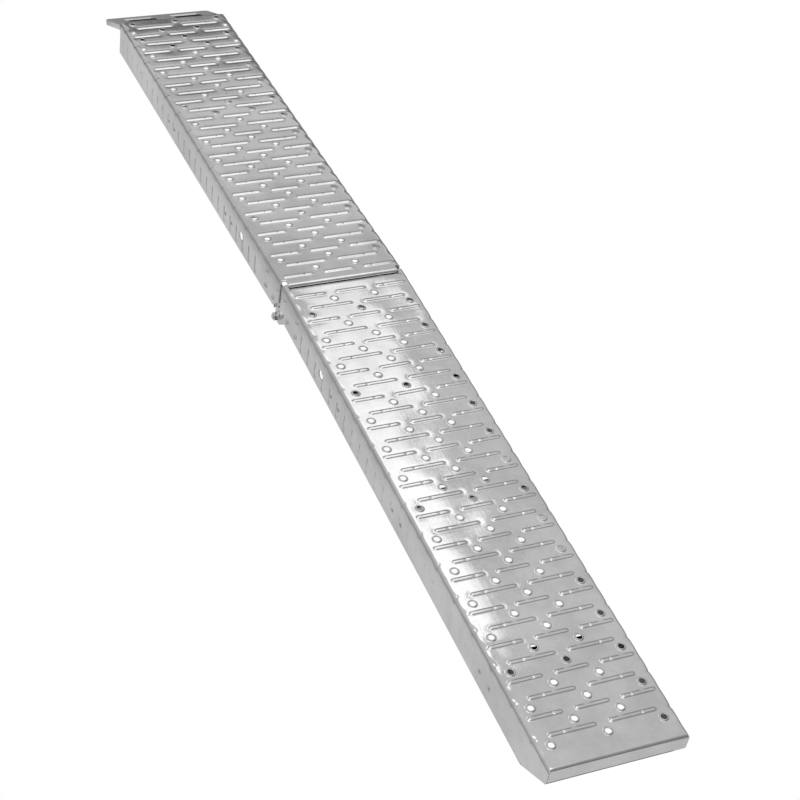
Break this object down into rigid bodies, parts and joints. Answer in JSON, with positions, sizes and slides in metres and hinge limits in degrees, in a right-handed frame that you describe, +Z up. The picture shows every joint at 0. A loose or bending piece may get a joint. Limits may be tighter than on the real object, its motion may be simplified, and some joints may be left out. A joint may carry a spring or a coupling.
{
  "type": "folding loading ramp",
  "caption": "Two-part folding ramp of pressed galvanised sheet with raised ridges and collared holes, side hinges below the deck and a bent lip with slots.",
  "frame": {"origin": "centre of the bounding box in plan, on the floor the open ramp stands on", "axes": "+Z up, +Y along the ramp from the foot to the lip, +X to the right when walking up"},
  "size_m": [0.2262, 1.9651, 0.0975],
  "materials": {
    "galvanised_sheet": "satin galvanised sheet with faint spangle and rolling grain",
    "hinge_steel": "satin zinc plated plate",
    "rivet_steel": "bright zinc plated",
    "zinc_fasteners": "bright zinc plated"
  },
  "bodies": {
    "lower_section": {"lower_deck": "galvanised_sheet", "lower_hinge_fold": "galvanised_sheet", "foot_wall": "galvanised_sheet", "lower_brace_1": "galvanised_sheet", "lower_brace_2": "galvanised_sheet", "lower_brace_3": "galvanised_sheet", "hinge_strap": "galvanised_sheet", "lower_brace_rivets": "rivet_steel", "lower_hinge_plate_left": "hinge_steel", "lower_hinge_rivets_left": "rivet_steel", "pivot_bolt_left": "zinc_fasteners", "pivot_nut_left": "zinc_fasteners", "outer_washer_left": "zinc_fasteners", "inner_washer_left": "zinc_fasteners", "lower_hinge_plate_right": "hinge_steel", "lower_hinge_rivets_right": "rivet_steel", "pivot_bolt_right": "zinc_fasteners", "pivot_nut_right": "zinc_fasteners", "outer_washer_right": "zinc_fasteners", "inner_washer_right": "zinc_fasteners"},
    "upper_section": {"upper_deck": "galvanised_sheet", "lip_plate": "galvanised_sheet", "lip_rivets": "rivet_steel", "upper_brace": "galvanised_sheet", "upper_tie": "galvanised_sheet", "upper_brace_rivets": "rivet_steel", "upper_hinge_plate_left": "hinge_steel", "upper_hinge_rivets_left": "rivet_steel", "upper_hinge_plate_right": "hinge_steel", "upper_hinge_rivets_right": "rivet_steel"}
  },
  "joints": [
    {"name": "fold", "type": "hinge", "parent": "lower_section", "child": "upper_section", "pos_m": [0, 0.00714, 0.02977], "axis": [-1, 0, 0], "range_deg": [0, 176.2]}
  ]
}
